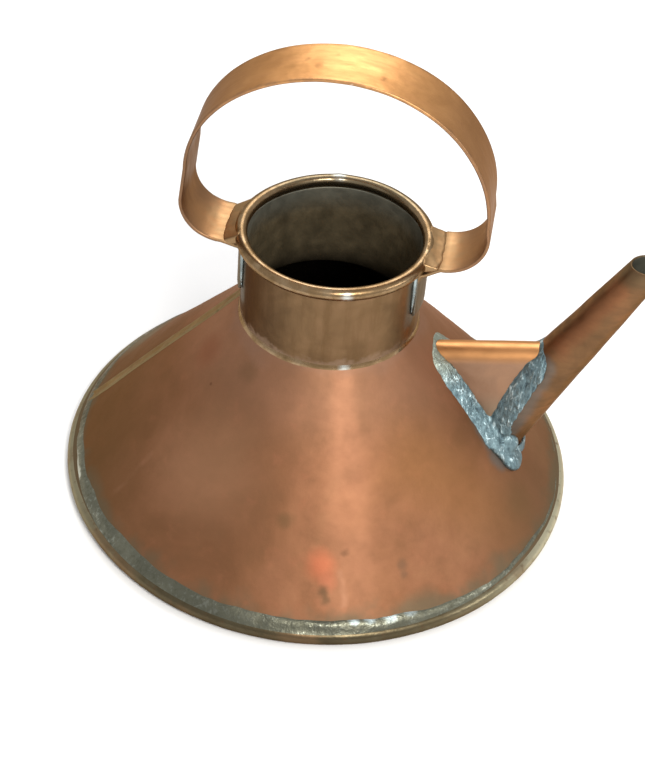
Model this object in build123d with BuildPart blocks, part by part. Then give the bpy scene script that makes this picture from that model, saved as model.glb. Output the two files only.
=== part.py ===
# Hand-made sheet-copper watering can: a conical body on a beaded base, a short neck with a beaded
# rim, a strap handle arching over the mouth, and a rising spout tied to the cone by a folded gusset.
# Millimetres. Origin at the centre of the underside, +Z up, +X towards the spout.
import os
from math import atan2, cos, hypot, radians, sin, sqrt, tan, tanh

from build123d import *

# ---- driving dimensions ----
sheet = 0.9                              # copper sheet thickness
base_radius = 115.0                      # outside of the base bead
bead_minor = 3.7                         # section radius of the base bead
foot_radius, foot_z = 111.5, 8.0         # where the cone's outer face lands on the bead
neck_radius, neck_z = 38.75, 89.7        # outside of the neck, and where the cone meets it
neck_foot_z, neck_top_z = 86.5, 129.2
rim_ring_radius, rim_z, rim_minor = 39.3, 129.7, 3.0
seam_offset = 3.8                        # the cone's seam strip lies beside the plane of symmetry
seam_width, seam_thick = 8.4, 0.7
strap_width, strap_thick = 28.0, 1.5
strap_top_z = 212.3                      # centre of the strap at the top of the arch
strap_root_z = 125.8                     # centre of the strap where it leaves the neck
strap_corner_x, strap_corner_radius = 63.6, 17.5
# the hand-bent arch differs from end to end: height of its low run, springing height and half-span
strap_ends = {1: (129.9, 153.2, 62.7), -1: (127.4, 160.8, 61.9)}
tab_bottom_z, tab_solder = 104.0, 1.7
elbow_x, elbow_z = 92.0, 88.25           # crown of the spout at the top of the gusset
spout_angle = 62.7                       # rise of the spout's axis
spout_radius, spout_taper = 10.9, 0.057  # outside radius at the elbow, and its loss per mm of run
mouth_z = 139.0                          # the spout is cut level here
crown_rise = 10.5                        # rise of the gusset's crown towards the spout
crown_radius, cheek_flare = 6.6, 9.5
window_half_width, window_low, window_high = 8.0, 36.0, 46.0
corner_bead, seam_bead, seam_sink = 4.2, 4.0, 2.3

# ---- derived geometry ----
slope = (foot_radius - neck_radius) / (neck_z - foot_z)
lean = atan2(1.0, slope)
face_out = (sin(lean), cos(lean))        # outward direction of the cone's face, as radius and height
bead_ring_radius = base_radius - bead_minor
axis_dir = Vector(cos(radians(spout_angle)), 0, sin(radians(spout_angle)))
axis_up = Vector(-axis_dir.Z, 0, axis_dir.X)
axis_start = Vector(elbow_x, 0, elbow_z) - axis_up * spout_radius
crown_dir = Vector(cos(radians(crown_rise)), 0, sin(radians(crown_rise)))


def cone_radius(z):
    return neck_radius + slope * (neck_z - z)


def cone_layer(low, high, inner, outer):
    """Section of a layer between two offsets from the cone's outer face."""
    return [(cone_radius(z) + off * face_out[0], z + off * face_out[1])
            for z, off in ((low, inner), (high, inner), (high, outer), (low, outer))]


def spout_point(run, turn, sink=0.0):
    """Point on the spout, turn in degrees from its crown towards -Y, sunk below its outer face."""
    reach = spout_radius - spout_taper * run - sink
    return axis_start + axis_dir * run + axis_up * (reach * cos(radians(turn))) - Vector(
        0, reach * sin(radians(turn)), 0)


def spout_root(turn):
    """Point where the spout's outer face meets the cone."""
    low, high = -70.0, 0.0
    for _ in range(40):
        mid = (low + high) / 2
        p = spout_point(mid, turn)
        low, high = (mid, high) if hypot(p.X, p.Y) < cone_radius(p.Z) else (low, mid)
    return spout_point(low, turn)


def gusset_section(inset):
    """Knee and foot of the folded gusset's section: an arched crown and two flaring cheeks."""
    radius = crown_radius - inset
    knee = (radius * cos(radians(cheek_flare)), radius * sin(radians(cheek_flare)) - crown_radius)
    depth = 78.0 + inset
    return knee, (knee[0] + (depth + knee[1]) * tan(radians(cheek_flare)), -depth)


def gusset_foot(depth, side):
    """Point where the gusset's outer face meets the cone."""
    knee, foot = gusset_section(0)
    if depth < -knee[1]:
        y = sqrt(crown_radius ** 2 - (crown_radius - depth) ** 2)
    else:
        y = knee[0] + (depth + knee[1]) * tan(radians(cheek_flare))
    x = 60.0
    for _ in range(60):
        z = elbow_z + (x - elbow_x) * tan(radians(crown_rise)) - depth
        x += 0.5 * (sqrt(cone_radius(z) ** 2 - y ** 2) - x)
    return Vector(x, side * y, z)


def gusset_edge_at(t):
    """The gusset's edge on the spout, from the front vertex over the elbow to the back vertex."""
    return spout_point(3 - 40 * t * t, -77 * tanh(3.2 * t), seam_sink)


def spout_root_at(t):
    """The spout's root on the cone, from its front side round the underside to its back side."""
    return spout_root(180 + 70 * t)


def bead_plane(curve, t):
    """Section plane of a solder bead that follows a curve."""
    along = curve(t + 0.01) - curve(t - 0.01)
    here = curve(t)
    away = here - Vector(60, 0, 20)
    return Plane(here, x_dir=away - along * (away.dot(along) / along.dot(along)), z_dir=along)


gusset_plane = Plane(Vector(elbow_x, 0, elbow_z) + crown_dir * 8, x_dir=(0, 1, 0), z_dir=crown_dir)
cheek_edge_plane = Plane(axis_start + axis_up * 2.6, x_dir=(0, 1, 0), z_dir=-axis_up)

# ---- filled outlines, used only to trim what lies against them ----
with BuildPart() as cone_fill:
    with BuildSketch(Plane.XZ):
        Polygon((0, 0), (cone_radius(0), 0), (neck_radius, neck_z), (neck_radius, 128), (0, 128), align=None)
    revolve(axis=Axis.Z)

with BuildPart() as bead_fill:
    with BuildSketch(Plane.XZ):
        with Locations((bead_ring_radius, bead_minor)):
            Circle(bead_minor)
    revolve(axis=Axis.Z)

with BuildPart() as spout_fill:
    for run in (-75.0, 75.0):
        with BuildSketch(Plane(axis_start + axis_dir * run, x_dir=(0, 1, 0), z_dir=axis_dir)):
            Circle(spout_radius - spout_taper * run)
    loft(ruled=True)

with BuildPart() as gusset_fill:
    with BuildSketch(gusset_plane):
        with BuildLine():
            knee, foot = gusset_section(0)
            ThreePointArc((-knee[0], knee[1]), (0, 0), knee)
            Polyline(knee, foot, (-foot[0], foot[1]), (-knee[0], knee[1]))
        make_face()
    extrude(amount=-70)
    with BuildSketch(cheek_edge_plane):
        Rectangle(80, 320)
    extrude(amount=80, mode=Mode.SUBTRACT)

# ---- base ----
with BuildPart() as base_plate:
    Cylinder(bead_ring_radius - 1.3, sheet, align=(Align.CENTER, Align.CENTER, Align.MIN))
    add(bead_fill.part, mode=Mode.SUBTRACT)

with BuildPart() as base_rim_bead:
    add(bead_fill.part)

with BuildPart() as base_solder_ring:
    with BuildSketch(Plane.XZ):
        top = (cone_radius(10.6), 10.6)
        crest = (cone_radius(9.0) + 0.8, 9.0 + 0.5)
        toe = (bead_ring_radius + 1.7, 7.0)
        with BuildLine():
            Spline(top, crest, toe)
            Polyline(toe, (bead_ring_radius, 4.5), (cone_radius(10.6) - 1.5, 9.0), top)
        make_face()
    revolve(axis=Axis.Z)
    add(bead_fill.part, mode=Mode.SUBTRACT)
    add(cone_fill.part, mode=Mode.SUBTRACT)

# ---- conical body ----
with BuildPart() as cone_body:
    with BuildSketch(Plane.XZ):
        Polygon(*cone_layer(5.6, neck_z + 3, -sheet, 0), align=None)
        with Locations((0, 60)):
            Rectangle(2 * neck_radius, 120, mode=Mode.SUBTRACT)
    revolve(axis=Axis.Z)
    add(bead_fill.part, mode=Mode.SUBTRACT)
    with BuildSketch(Plane.YZ.offset(45)):
        with Locations((0, window_low)):
            Rectangle(2 * window_half_width, window_high - window_low, align=(Align.CENTER, Align.MIN))
        with Locations((0, window_high)):
            Circle(window_half_width)
    extrude(amount=60, mode=Mode.SUBTRACT)

with BuildPart() as cone_seam_strip:
    with BuildSketch(Plane.XZ):
        Polygon(*cone_layer(10.6, 88.3, 0, seam_thick), align=None)
    revolve(axis=Axis.Z)
    with BuildSketch(Plane.XY):
        with Locations((-75, seam_offset)):
            Rectangle(90, seam_width)
    extrude(amount=100, mode=Mode.INTERSECT)

# ---- neck ----
with BuildPart() as neck_rim_bead:
    with BuildSketch(Plane.XZ):
        with Locations((rim_ring_radius, rim_z)):
            Circle(rim_minor)
    revolve(axis=Axis.Z)

with BuildPart() as neck_tube:
    with Locations((0, 0, neck_foot_z)):
        Cylinder(neck_radius, neck_top_z - neck_foot_z, align=(Align.CENTER, Align.CENTER, Align.MIN))
        Cylinder(neck_radius - sheet, neck_top_z - neck_foot_z,
                 align=(Align.CENTER, Align.CENTER, Align.MIN), mode=Mode.SUBTRACT)
    add(neck_rim_bead.part, mode=Mode.SUBTRACT)

with BuildPart() as neck_foot_solder:
    with BuildSketch(Plane.XZ):
        with BuildLine():
            heel, toe = (neck_radius, neck_z + 1.7), (cone_radius(neck_z - 1.4), neck_z - 1.4)
            Spline(heel, (neck_radius + 1.2, neck_z + 0.5), toe)
            Polyline(toe, (neck_radius - 1, neck_z - 2), heel)
        make_face()
    revolve(axis=Axis.Z)
    add(cone_fill.part, mode=Mode.SUBTRACT)

# ---- strap handle ----
with BuildPart() as handle_strap:
    half, bend_x = strap_thick / 2, strap_corner_x - strap_corner_radius
    with BuildSketch(Plane.XZ.offset(-strap_width / 2)):
        with BuildLine():
            for reach in (half, -half):
                for side, (low_z, arch_z, half_span) in strap_ends.items():
                    corner = (side * (strap_corner_x + reach), low_z + strap_corner_radius)
                    EllipticalCenterArc((0, arch_z), half_span + reach, strap_top_z - arch_z + reach,
                                        start_angle=45 - 45 * side, arc_size=90)
                    Line((side * (half_span + reach), arch_z), corner)
                    RadiusArc(corner, (side * bend_x, low_z - reach), side * (strap_corner_radius + reach))
                    Line((side * bend_x, low_z - reach), (side * (neck_radius - 1), strap_root_z - reach))
            for side in (1, -1):
                Line((side * (neck_radius - 1), strap_root_z - half),
                     (side * (neck_radius - 1), strap_root_z + half))
        make_face()
    extrude(amount=strap_width)
    with BuildSketch(Plane.XY.offset(tab_bottom_z)):
        Circle(neck_radius + strap_thick)
        Rectangle(100, strap_width, mode=Mode.INTERSECT)
    extrude(amount=strap_root_z + half - tab_bottom_z)
    Cylinder(neck_radius, 300, mode=Mode.SUBTRACT)
    add(neck_rim_bead.part, mode=Mode.SUBTRACT)

# one solder fillet along each upright edge of the strap's two tabs
tab_solders = {}
for end, x_side in (("spout_end", 1), ("seam_end", -1)):
    for face, y_side in (("front", -1), ("back", 1)):
        with BuildPart() as tab_solder_bead:
            edge_x = x_side * (sqrt(neck_radius ** 2 - (strap_width / 2) ** 2) + 0.3)
            with BuildSketch(Plane.XY.offset(tab_bottom_z - 1)):
                with Locations((edge_x, y_side * strap_width / 2)):
                    Circle(tab_solder)
            extrude(amount=strap_root_z - tab_bottom_z)
            Cylinder(neck_radius, 300, mode=Mode.SUBTRACT)
            add(handle_strap.part, mode=Mode.SUBTRACT)
            add(cone_fill.part, mode=Mode.SUBTRACT)
        tab_solders[f"handle_solder_{end}_{face}"] = tab_solder_bead

# ---- spout ----
with BuildPart() as spout_tube:
    for inset, mode in ((0, Mode.ADD), (sheet, Mode.SUBTRACT)):
        for run in (-75.0, 75.0):
            with BuildSketch(Plane(axis_start + axis_dir * run, x_dir=(0, 1, 0), z_dir=axis_dir)):
                Circle(spout_radius - spout_taper * run - inset)
        loft(ruled=True, mode=mode)
    add(cone_fill.part, mode=Mode.SUBTRACT)
    with BuildSketch(Plane.XY.offset(mouth_z)):
        Rectangle(400, 100)
    extrude(amount=60, mode=Mode.SUBTRACT)

with BuildPart() as spout_gusset:
    with BuildSketch(gusset_plane):
        for inset, mode in ((0, Mode.ADD), (sheet, Mode.SUBTRACT)):
            with BuildLine():
                knee, foot = gusset_section(inset)
                ThreePointArc((-knee[0], knee[1]), (0, -inset), knee)
                Polyline(knee, foot, (-foot[0], foot[1]), (-knee[0], knee[1]))
            make_face(mode=mode)
    extrude(amount=-70)
    with BuildSketch(cheek_edge_plane):
        Rectangle(80, 320)
    extrude(amount=80, mode=Mode.SUBTRACT)
    add(cone_fill.part, mode=Mode.SUBTRACT)
    add(spout_fill.part, mode=Mode.SUBTRACT)

# solder along the gusset's foot on the cone, up one cheek, over the crown and down the other
with BuildPart() as gusset_cone_solder:
    with BuildLine() as path:
        apex = gusset_foot(0, 1)
        shoulders = [Vector(apex.X, side * (crown_radius - 0.6), apex.Z) for side in (-1, 1)]
        FilletPolyline(gusset_foot(49, -1), *shoulders, gusset_foot(49, 1), radius=8.5)
    with BuildSketch(Plane(path.line @ 0, z_dir=path.line % 0)):
        Circle(corner_bead)
    sweep()
    add(cone_fill.part, mode=Mode.SUBTRACT)
    add(gusset_fill.part, mode=Mode.SUBTRACT)
    add(spout_fill.part, mode=Mode.SUBTRACT)

# solder along the gusset's other edge, on the spout, over the elbow
with BuildPart() as gusset_spout_solder:
    for k in range(-9, 10):
        with BuildSketch(bead_plane(gusset_edge_at, k / 9)):
            Circle(seam_bead)
    loft()
    add(cone_fill.part, mode=Mode.SUBTRACT)
    add(gusset_fill.part, mode=Mode.SUBTRACT)
    add(spout_fill.part, mode=Mode.SUBTRACT)
    add(gusset_cone_solder.part, mode=Mode.SUBTRACT)

# solder round the spout's underside where it meets the cone
with BuildPart() as spout_root_solder:
    for k in range(-6, 7):
        with BuildSketch(bead_plane(spout_root_at, k / 6)):
            Circle(corner_bead)
    loft()
    add(cone_fill.part, mode=Mode.SUBTRACT)
    add(spout_fill.part, mode=Mode.SUBTRACT)
    add(gusset_fill.part, mode=Mode.SUBTRACT)
    add(gusset_cone_solder.part, mode=Mode.SUBTRACT)
    add(gusset_spout_solder.part, mode=Mode.SUBTRACT)

pieces = {
    "base_plate": base_plate,
    "base_rim_bead": base_rim_bead,
    "base_solder_ring": base_solder_ring,
    "cone_body": cone_body,
    "cone_seam_strip": cone_seam_strip,
    "neck_tube": neck_tube,
    "neck_rim_bead": neck_rim_bead,
    "neck_foot_solder": neck_foot_solder,
    "handle_strap": handle_strap,
    **tab_solders,
    "spout_tube": spout_tube,
    "spout_gusset": spout_gusset,
    "gusset_cone_solder": gusset_cone_solder,
    "gusset_spout_solder": gusset_spout_solder,
    "spout_root_solder": spout_root_solder,
}

os.makedirs("parts", exist_ok=True)
for label, piece in pieces.items():
    piece.part.label = label
    export_step(piece.part, f"parts/{label}.step")
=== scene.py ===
import math

import bmesh
import bpy
from mathutils import Matrix, Vector, noise


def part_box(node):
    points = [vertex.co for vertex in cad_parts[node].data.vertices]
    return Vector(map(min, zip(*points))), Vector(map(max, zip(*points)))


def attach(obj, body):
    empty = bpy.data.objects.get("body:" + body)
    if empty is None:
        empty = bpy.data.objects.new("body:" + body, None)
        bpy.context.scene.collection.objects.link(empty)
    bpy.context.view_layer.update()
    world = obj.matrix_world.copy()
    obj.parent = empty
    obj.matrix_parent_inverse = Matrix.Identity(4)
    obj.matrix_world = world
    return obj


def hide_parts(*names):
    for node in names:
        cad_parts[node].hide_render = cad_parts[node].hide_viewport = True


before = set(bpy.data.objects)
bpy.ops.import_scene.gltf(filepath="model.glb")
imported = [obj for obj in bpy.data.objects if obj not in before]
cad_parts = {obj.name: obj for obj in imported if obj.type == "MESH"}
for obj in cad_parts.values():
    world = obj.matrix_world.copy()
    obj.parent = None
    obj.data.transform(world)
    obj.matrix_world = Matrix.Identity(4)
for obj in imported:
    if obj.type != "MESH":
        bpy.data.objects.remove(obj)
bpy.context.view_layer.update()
scene = bpy.context.scene
MM = 0.001
SMOOTH_BELOW, BEVEL_ABOVE = math.radians(48), math.radians(50)

# ---- sizes read from the frame, in metres ----
neck_low, neck_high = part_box("neck_tube")
bead_low, bead_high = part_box("base_rim_bead")
rim_low, rim_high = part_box("neck_rim_bead")
strap_low, strap_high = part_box("handle_strap")
mouth_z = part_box("spout_tube")[1].z
neck_r = neck_high.x
base_r = bead_high.x
bead_minor = (bead_high.z - bead_low.z) / 2
bead_ring = base_r - bead_minor
rim_minor = (rim_high.z - rim_low.z) / 2
rim_ring, rim_z = rim_high.x - rim_minor, (rim_high.z + rim_low.z) / 2
foot_r, foot_z, neck_z = base_r - 3.5 * MM, 8.0 * MM, 89.7 * MM
slope = (foot_r - neck_r) / (neck_z - foot_z)
lean = math.atan2(1.0, slope)
out_r, out_z = math.sin(lean), math.cos(lean)
sheet = 0.9 * MM


def cone_r(z):
    return neck_r + slope * (neck_z - z)


def polar(radius, azimuth, z):
    return Vector((radius * math.cos(azimuth), radius * math.sin(azimuth), z))


def lump(p, size, seed=0.0):
    """Smooth random value near -1 to 1 at a point, varying over the given size in mm."""
    return noise.noise(p / (size * MM) + Vector((seed, 7.3 * seed, 3.1)))


def bell(value, centre, width):
    return math.exp(-((value - centre) / width) ** 2)


def blend(a, b, t):
    return a + (b - a) * t


# ---- node helper ----
class Finish:
    """A procedural material over the object's own coordinates."""

    def __init__(self, name, metallic):
        self.mat = bpy.data.materials.new(name)
        self.mat.use_nodes = True
        self.tree = self.mat.node_tree
        self.shader = self.tree.nodes["Principled BSDF"]
        self.shader.inputs["Metallic"].default_value = metallic
        self.shader.inputs["Specular Tint"].default_value = (0.55, 0.45, 0.38, 1.0)
        self.place = self.add("ShaderNodeTexCoord", {}).outputs["Object"]
        self.x, self.y, self.z = self.add("ShaderNodeSeparateXYZ", {0: self.place}).outputs

    def add(self, kind, sockets, **settings):
        """A new node with its settings, and its input sockets linked or set by name or number."""
        node = self.tree.nodes.new(kind)
        for key, value in settings.items():
            setattr(node, key, value)
        for key, value in sockets.items():
            self.put(node.inputs[key], value)
        return node

    def put(self, socket, value):
        """Link a socket to another, or set it to a number, a vector or a colour."""
        if isinstance(value, bpy.types.NodeSocket):
            self.tree.links.new(value, socket)
        elif isinstance(value, tuple) and len(value) == 3 and socket.type == "RGBA":
            socket.default_value = (*value, 1.0)
        else:
            socket.default_value = value

    def noise(self, size, detail=4.0, rough=0.55, stretch=None, warp=0.0):
        """Noise whose features are about size mm across."""
        return self.add("ShaderNodeTexNoise", {
            "Scale": 1000.0 / size, "Detail": detail, "Roughness": rough, "Distortion": warp,
            "Vector": self.place if stretch is None else stretch}).outputs["Fac"]

    def mapped(self, scale, turn=(0.0, 0.0, 0.0)):
        """The object's coordinates turned and scaled; a small scale draws features out along that axis."""
        return self.add("ShaderNodeMapping", {"Vector": self.place, "Rotation": turn, "Scale": scale}).outputs[0]

    def math(self, operation, a, b=0.0):
        return self.add("ShaderNodeMath", {0: a, 1: b}, operation=operation).outputs[0]

    def vector(self, operation, *values):
        """A vector operation's node; its first output is a vector and its second a number."""
        return self.add("ShaderNodeVectorMath", dict(enumerate(values)), operation=operation)

    def ease(self, value, start, end, low=0.0, high=1.0):
        """Smooth step of a value from low at start to high at end."""
        return self.add("ShaderNodeMapRange", {"Value": value, "From Min": start, "From Max": end, "To Min": low,
                                               "To Max": high}, interpolation_type="SMOOTHSTEP").outputs["Result"]

    def ramp(self, value, stops):
        node = self.add("ShaderNodeValToRGB", {"Fac": value})
        elements = node.color_ramp.elements
        while len(elements) < len(stops):
            elements.new(0.5)
        for element, (at, colour) in zip(elements, stops):
            element.position, element.color = at, (*colour, 1.0)
        return node.outputs["Color"]

    def mix(self, mask, a, b, amount=None):
        """Colour a turned into colour b by a mask, which amount scales."""
        if amount is not None:
            mask = self.math("MULTIPLY", mask, amount)
        return self.add("ShaderNodeMix", {0: mask, 6: a, 7: b}, data_type="RGBA").outputs[2]

    def wobbled(self, amount, size):
        """The object's coordinates pushed about by noise, for ragged edges; amount in mm."""
        texture = self.add("ShaderNodeTexNoise", {"Scale": 1000.0 / size, "Detail": 3.0, "Vector": self.place})
        shift = self.vector("MULTIPLY_ADD", texture.outputs["Color"], (2 * amount * MM,) * 3, (-amount * MM,) * 3)
        return self.vector("ADD", self.place, shift.outputs[0]).outputs[0]

    def spot(self, where, centre, inner, outer):
        """Mask that is 1 near a point in mm and fades to 0 between two distances."""
        gap = self.vector("DISTANCE", where, tuple(c * MM for c in centre)).outputs[1]
        return self.ease(gap, inner * MM, outer * MM, 1.0, 0.0)

    def stroke(self, where, start, end, inner, outer):
        """Mask along a straight stroke between two points in mm."""
        a, b = Vector(start) * MM, Vector(end) * MM
        run = b - a
        offset = self.vector("SUBTRACT", where, a).outputs[0]
        along = self.vector("DOT_PRODUCT", offset, run / run.length_squared).outputs[1]
        held = self.add("ShaderNodeClamp", {"Value": along}).outputs[0]
        foot = self.add("ShaderNodeVectorMath", {0: run, "Scale": held}, operation="SCALE").outputs[0]
        gap = self.vector("DISTANCE", offset, foot).outputs[1]
        return self.ease(gap, inner * MM, outer * MM, 1.0, 0.0)

    def relief(self, heights):
        """Bump from a list of (height value, depth in mm)."""
        normal = None
        for value, depth in heights:
            sockets = {"Strength": 1.0, "Distance": depth * MM, "Height": value}
            if normal is not None:
                sockets["Normal"] = normal
            normal = self.add("ShaderNodeBump", sockets).outputs["Normal"]
        self.put(self.shader.inputs["Normal"], normal)

    def done(self, colour, roughness):
        self.put(self.shader.inputs["Base Color"], colour)
        self.put(self.shader.inputs["Roughness"], roughness)
        return self.mat


# the two arms of the folded gusset's solder, from its crown to the vertex, on the front side
CROWN_END, V_VERTEX, ELBOW_END = (60.5, -9.0, 81.0), (82.0, -16.0, 37.0), (95.0, -10.0, 84.0)


def cone_copper():
    f = Finish("aged_copper_body", 0.9)
    ragged = f.wobbled(5.0, 16.0)
    cloud = f.noise(52.0, 5.0, 0.6, warp=0.6)
    colour = f.ramp(cloud, [(0.30, (0.200, 0.092, 0.044)), (0.45, (0.240, 0.110, 0.054)),
                            (0.58, (0.280, 0.128, 0.066)), (0.72, (0.315, 0.152, 0.078))])
    mottle = f.noise(13.0, 6.0, 0.62)
    colour = f.mix(f.ease(mottle, 0.45, 0.75, 0.0, 0.35), colour, (0.190, 0.098, 0.048))
    colour = f.mix(f.ease(f.noise(8.0, 4.0), 0.55, 0.8, 0.0, 0.30), colour, (0.370, 0.150, 0.080))
    # painted shade darkens the seam side, paler copper round the neck, a warm flank, and painted shade darkens the
    # far end past the spout
    colour = f.mix(f.ease(f.x, -0.042, -0.100, 0.0, 0.75), colour, (0.140, 0.072, 0.028))
    colour = f.mix(f.ease(f.z, 0.055, 0.082, 0.0, 0.40), colour, (0.330, 0.180, 0.110))
    colour = f.mix(f.spot(ragged, (-38, -62, 45), 6, 38), colour, (0.400, 0.215, 0.118), 0.45)
    colour = f.mix(f.stroke(ragged, (50, -50, 55), (95, -40, 22), 2, 30), colour, (0.300, 0.140, 0.052), 0.50)
    colour = f.mix(f.ease(f.x, 0.070, 0.108, 0.0, 0.65), colour, (0.170, 0.098, 0.052))
    # a painted highlight band runs down the front, 1.262 radians clockwise from the spout
    painted_highlight_band = f.ease(f.math("ABSOLUTE", f.math("ADD", f.math("ARCTAN2", f.y, f.x), 1.262)), 0.03, 0.17, 0.36, 0.0)
    colour = f.mix(painted_highlight_band, colour, (0.420, 0.200, 0.112))
    # heat blooms, dark specks and dulled patches
    for centre, inner, outer, tint, amount in (
            ((16.4, -92.1, 28.2), 1.0, 9.5, (0.46, 0.150, 0.075), 0.85),
            ((20.0, -95.0, 22.0), 1.0, 6.0, (0.42, 0.150, 0.080), 0.70),
            ((-48.5, -21.4, 73.7), 2.0, 12.0, (0.240, 0.085, 0.042), 0.45),
            ((25.1, -74.0, 45.5), 2.0, 16.0, (0.44, 0.205, 0.105), 0.30),
            ((19.1, -99.2, 19.8), 0.4, 3.8, (0.080, 0.060, 0.032), 0.65),
            ((20.4, -101.2, 17.0), 0.4, 3.2, (0.080, 0.060, 0.032), 0.55),
            ((25.4, -86.6, 31.9), 0.3, 2.6, (0.120, 0.062, 0.034), 0.50),
            ((-1.4, -82.2, 40.9), 0.6, 5.5, (0.125, 0.072, 0.034), 0.60),
            ((49.9, -81.9, 25.6), 0.4, 3.6, (0.120, 0.080, 0.050), 0.45),
            ((51.2, -84.0, 22.4), 0.4, 2.8, (0.120, 0.080, 0.050), 0.40),
            ((-27.6, -38.4, 80.1), 1.0, 7.5, (0.140, 0.080, 0.038), 0.35),
            ((-44.0, -37.1, 68.6), 0.2, 1.6, (0.100, 0.040, 0.020), 0.80),
            ((95.1, -28.2, 21.8), 2.0, 14.0, (0.185, 0.105, 0.050), 0.55),
            ((-94.0, 46.0, 16.0), 5.0, 24.0, (0.200, 0.180, 0.120), 0.65)):
        colour = f.mix(f.spot(f.wobbled(1.6, 5.0), centre, inner, outer), colour, tint, amount)
    for start, end, amount in (((-66, -55, 36), (-80, -64, 18), 0.10), ((26, -92, 25.5), (28.8, -101, 15), 0.22)):
        colour = f.mix(f.stroke(ragged, start, end, 0.2, 2.4), colour, (0.50, 0.27, 0.17), amount)
    # solder tinning bleeds on to the copper beside the joints
    reach = f.math("ADD", f.z, f.ease(f.noise(16.0, 3.0, 0.5), 0.3, 0.7, -0.0030, 0.0030))
    skirt = f.ease(reach, 0.0085, 0.0165, 0.70, 0.0)
    colour = f.mix(skirt, colour, (0.130, 0.112, 0.070))
    neck_ring = f.ease(reach, 0.0835, 0.0905, 0.0, 0.5)
    colour = f.mix(neck_ring, colour, (0.290, 0.170, 0.115))
    # heat halo round the gusset's solder
    edge = f.wobbled(2.6, 6.0)
    halo = f.math("MAXIMUM", f.stroke(edge, CROWN_END, V_VERTEX, 5.0, 9.0),
                  f.spot(edge, V_VERTEX, 6.0, 11.0))
    colour = f.mix(halo, colour, (0.155, 0.165, 0.155), 0.62)
    rough = f.ease(f.math("ADD", f.math("MULTIPLY", mottle, 0.6), f.math("MULTIPLY", cloud, 0.4)),
                   0.3, 0.7, 0.54, 0.66)
    f.relief([(f.noise(38.0, 2.0), 0.9), (f.noise(6.0, 4.0), 0.10), (f.noise(0.9, 2.0), 0.012)])
    return f.done(colour, rough)


def strap_copper():
    f = Finish("polished_copper_handle", 0.95)
    drawn = f.mapped((0.22, 1.0, 0.22))
    streak = f.noise(3.2, 4.0, 0.6, stretch=drawn)
    cloud = f.noise(19.0, 4.0, 0.6, warp=0.4)
    colour = f.ramp(cloud, [(0.30, (0.580, 0.285, 0.108)), (0.50, (0.690, 0.350, 0.136)),
                            (0.70, (0.790, 0.425, 0.172))])
    colour = f.mix(f.ease(streak, 0.42, 0.72, 0.0, 0.40), colour, (0.500, 0.255, 0.110))
    # the top is left lighter; painted shade darkens the sides and the low runs, and darkens the seam end's outer
    # part further
    side = f.ease(f.math("ABSOLUTE", f.x), 0.018, 0.060, 0.0, 0.85)
    colour = f.mix(side, colour, (0.270, 0.148, 0.080))
    colour = f.mix(f.ease(f.x, -0.050, -0.062, 0.0, 0.5), colour, (0.130, 0.078, 0.048))
    for x in (53, -53):
        colour = f.mix(f.spot(f.wobbled(3.0, 9.0), (x, -3, 130), 3, 15), colour, (0.400, 0.210, 0.092), 0.75)
    # painted shade darkens the strap along its two long edges
    edge = f.ease(f.math("ADD", f.math("ABSOLUTE", f.y),
                         f.ease(f.noise(4.0, 3.0), 0.3, 0.7, -0.0012, 0.0012)), 0.0115, 0.0145, 0.0, 0.45)
    colour = f.mix(edge, colour, (0.220, 0.130, 0.080))
    # greenish flux tarnish where each end is soldered on
    root = f.math("ADD", f.math("ABSOLUTE", f.x),
                  f.ease(f.noise(6.0, 4.0, 0.6), 0.3, 0.7, -0.004, 0.004))
    low = f.ease(f.z, 0.136, 0.142, 1.0, 0.0)
    flux = f.math("MULTIPLY", f.ease(root, 0.0440, 0.0560, 0.60, 0.0), low)
    colour = f.mix(flux, colour, (0.330, 0.220, 0.112))
    wash = f.math("MULTIPLY", f.ease(root, 0.0440, 0.0415, 0.0, 0.45), low)
    colour = f.mix(wash, colour, (0.290, 0.200, 0.105))
    tab = f.ease(f.z, 0.1205, 0.1250, 0.80, 0.0)
    colour = f.mix(tab, colour, (0.120, 0.118, 0.098))
    # bright nicks along the edges, then brown freckles on the top
    for centre, size in (((31, -13.6, 201), 1.6), ((35, -13.8, 198.5), 1.2), ((38, -13.6, 196.2), 1.5),
                         ((3, -13.8, 211.5), 1.3), ((-20, 13.7, 209.0), 1.4)):
        colour = f.mix(f.spot(f.wobbled(0.8, 1.6), centre, 0.2, size), colour, (0.72, 0.55, 0.40))
    for centre, size in (((-11, -3, 212), 3.2), ((-17, 2, 211), 2.2), ((-6, 5, 212), 2.0),
                         ((14, -5, 211), 2.4)):
        colour = f.mix(f.spot(f.wobbled(2.2, 3.0), centre, 0.2, size), colour, (0.215, 0.110, 0.048), 0.45)
    rough = f.ease(f.math("ADD", f.math("MULTIPLY", streak, 0.5), f.math("MULTIPLY", cloud, 0.5)),
                   0.35, 0.65, 0.34, 0.50)
    f.relief([(f.noise(14.0, 2.0), 0.45), (streak, 0.05), (f.noise(1.0, 2.0), 0.012)])
    return f.done(colour, rough)


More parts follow.
